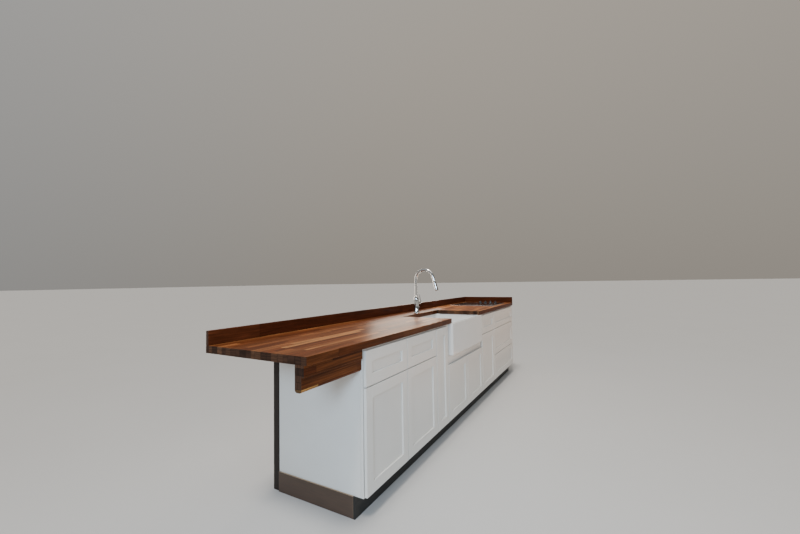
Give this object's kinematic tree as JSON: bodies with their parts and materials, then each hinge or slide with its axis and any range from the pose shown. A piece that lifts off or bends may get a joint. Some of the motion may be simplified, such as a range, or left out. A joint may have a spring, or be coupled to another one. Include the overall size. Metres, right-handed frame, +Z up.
{
  "type": "fitted kitchen base run",
  "caption": "Fitted kitchen base run: wooden block counter with a bar end, painted cabinets with doors and drawers, apron-front sink, swivel tap and glass cooktop.",
  "frame": {"origin": "on the floor, midway along the counter and midway between the wall and the sink's front face", "axes": "+X along the counter from the bar end to the far end, +Y towards the wall, +Z up"},
  "size_m": [3.896, 0.688, 1.3403],
  "materials": {
    "butcher_block": "oiled",
    "dark_wood": "oiled",
    "cabinet_paint": "satin paint",
    "cabinet_board": "satin",
    "toe_paint": "matt paint",
    "runner_steel": "satin",
    "sink_glaze": "gloss",
    "tap_chrome": "polished",
    "cooktop_glass": "opaque black glass",
    "knob_plastic": "satin"
  },
  "bodies": {
    "base": {"counter_near": "butcher_block", "counter_sink_strip": "butcher_block", "counter_far": "butcher_block", "bar_board": "dark_wood", "wall_splash": "dark_wood", "end_splash": "dark_wood", "end_panel": "cabinet_paint", "far_filler": "cabinet_paint", "cabinet_sides": "cabinet_board", "cabinet_floors": "cabinet_board", "cabinet_backs": "cabinet_board", "fixing_rails": "cabinet_board", "left_uprights": "cabinet_paint", "right_uprights": "cabinet_paint", "frame_rails": "cabinet_paint", "drawer_upright": "cabinet_paint", "drawer_runners": "runner_steel", "plinth_rails": "cabinet_board", "plinth_cross_pieces": "cabinet_board", "toe_board": "toe_paint", "toe_skin": "toe_paint", "scribe_strip": "toe_paint", "sink_bearers": "cabinet_board", "sink": "sink_glaze", "sink_strainer": "runner_steel", "cooktop": "cooktop_glass", "burner_box": "runner_steel", "tap_body": "tap_chrome"},
    "near_left_door": {"near_left_door": "cabinet_paint"},
    "near_right_door": {"near_right_door": "cabinet_paint"},
    "narrow_door": {"narrow_door": "cabinet_paint"},
    "sink_left_door": {"sink_left_door": "cabinet_paint"},
    "sink_right_door": {"sink_right_door": "cabinet_paint"},
    "middle_door": {"middle_door": "cabinet_paint"},
    "near_left_drawer": {"near_left_drawer_front": "cabinet_paint", "near_left_drawer_box": "cabinet_board"},
    "near_right_drawer": {"near_right_drawer_front": "cabinet_paint", "near_right_drawer_box": "cabinet_board"},
    "middle_drawer": {"middle_drawer_front": "cabinet_paint", "middle_drawer_box": "cabinet_board"},
    "far_top_drawer": {"far_top_drawer_front": "cabinet_paint", "far_top_drawer_box": "cabinet_board"},
    "far_centre_drawer": {"far_centre_drawer_front": "cabinet_paint", "far_centre_drawer_box": "cabinet_board"},
    "far_bottom_drawer": {"far_bottom_drawer_front": "cabinet_paint", "far_bottom_drawer_box": "cabinet_board"},
    "spout": {"tap_spout": "tap_chrome", "spray_head": "tap_chrome"},
    "tap_hub": {"tap_hub": "tap_chrome"},
    "tap_lever": {"tap_lever": "tap_chrome"},
    "knob_1": {"knob_1": "knob_plastic"},
    "knob_2": {"knob_2": "knob_plastic"},
    "knob_3": {"knob_3": "knob_plastic"},
    "knob_4": {"knob_4": "knob_plastic"}
  },
  "joints": [
    {"name": "near_left_door_hinge", "type": "hinge", "parent": "base", "child": "near_left_door", "pos_m": [-1.513, -0.325, 0.395], "axis": [0, 0, -1], "range_deg": [0, 90]},
    {"name": "near_right_door_hinge", "type": "hinge", "parent": "base", "child": "near_right_door", "pos_m": [-0.609, -0.325, 0.395], "axis": [0, 0, 1], "range_deg": [0, 90]},
    {"name": "narrow_door_hinge", "type": "hinge", "parent": "base", "child": "narrow_door", "pos_m": [-0.599, -0.325, 0.491], "axis": [0, 0, -1], "range_deg": [0, 90]},
    {"name": "sink_left_door_hinge", "type": "hinge", "parent": "base", "child": "sink_left_door", "pos_m": [-0.37, -0.325, 0.3355], "axis": [0, 0, -1], "range_deg": [0, 90]},
    {"name": "sink_right_door_hinge", "type": "hinge", "parent": "base", "child": "sink_right_door", "pos_m": [0.534, -0.325, 0.3355], "axis": [0, 0, 1], "range_deg": [0, 90]},
    {"name": "middle_door_hinge", "type": "hinge", "parent": "base", "child": "middle_door", "pos_m": [0.544, -0.325, 0.395], "axis": [0, 0, -1], "range_deg": [0, 90]},
    {"name": "near_left_drawer_slide", "type": "slide", "parent": "base", "child": "near_left_drawer", "axis": [0, -1, 0], "range_m": [0, 0.4]},
    {"name": "near_right_drawer_slide", "type": "slide", "parent": "base", "child": "near_right_drawer", "axis": [0, -1, 0], "range_m": [0, 0.4]},
    {"name": "middle_drawer_slide", "type": "slide", "parent": "base", "child": "middle_drawer", "axis": [0, -1, 0], "range_m": [0, 0.4]},
    {"name": "far_top_drawer_slide", "type": "slide", "parent": "base", "child": "far_top_drawer", "axis": [0, -1, 0], "range_m": [0, 0.4]},
    {"name": "far_centre_drawer_slide", "type": "slide", "parent": "base", "child": "far_centre_drawer", "axis": [0, -1, 0], "range_m": [0, 0.4]},
    {"name": "far_bottom_drawer_slide", "type": "slide", "parent": "base", "child": "far_bottom_drawer", "axis": [0, -1, 0], "range_m": [0, 0.4]},
    {"name": "spout_swivel", "type": "hinge", "parent": "base", "child": "spout", "pos_m": [0.082, 0.179, 1.0743], "axis": [0, 0, 1], "range_deg": [-90, 90]},
    {"name": "warmth_turn", "type": "hinge", "parent": "base", "child": "tap_hub", "pos_m": [0.10304, 0.16685, 1.012], "axis": [0.866, -0.5, 0], "range_deg": [-25, 65]},
    {"name": "flow_tilt", "type": "hinge", "parent": "tap_hub", "child": "tap_lever", "pos_m": [0.12755, 0.1527, 1.012], "axis": [0.4698, 0.8138, -0.342], "range_deg": [0, 30]},
    {"name": "knob_1_turn", "type": "hinge", "parent": "base", "child": "knob_1", "pos_m": [1.701, -0.164, 0.9223], "axis": [0, 0, -1], "range_deg": [0, 270]},
    {"name": "knob_2_turn", "type": "hinge", "parent": "base", "child": "knob_2", "pos_m": [1.701, -0.098, 0.9223], "axis": [0, 0, -1], "range_deg": [0, 270]},
    {"name": "knob_3_turn", "type": "hinge", "parent": "base", "child": "knob_3", "pos_m": [1.701, -0.032, 0.9223], "axis": [0, 0, -1], "range_deg": [0, 270]},
    {"name": "knob_4_turn", "type": "hinge", "parent": "base", "child": "knob_4", "pos_m": [1.701, 0.034, 0.9223], "axis": [0, 0, -1], "range_deg": [0, 270]}
  ]
}
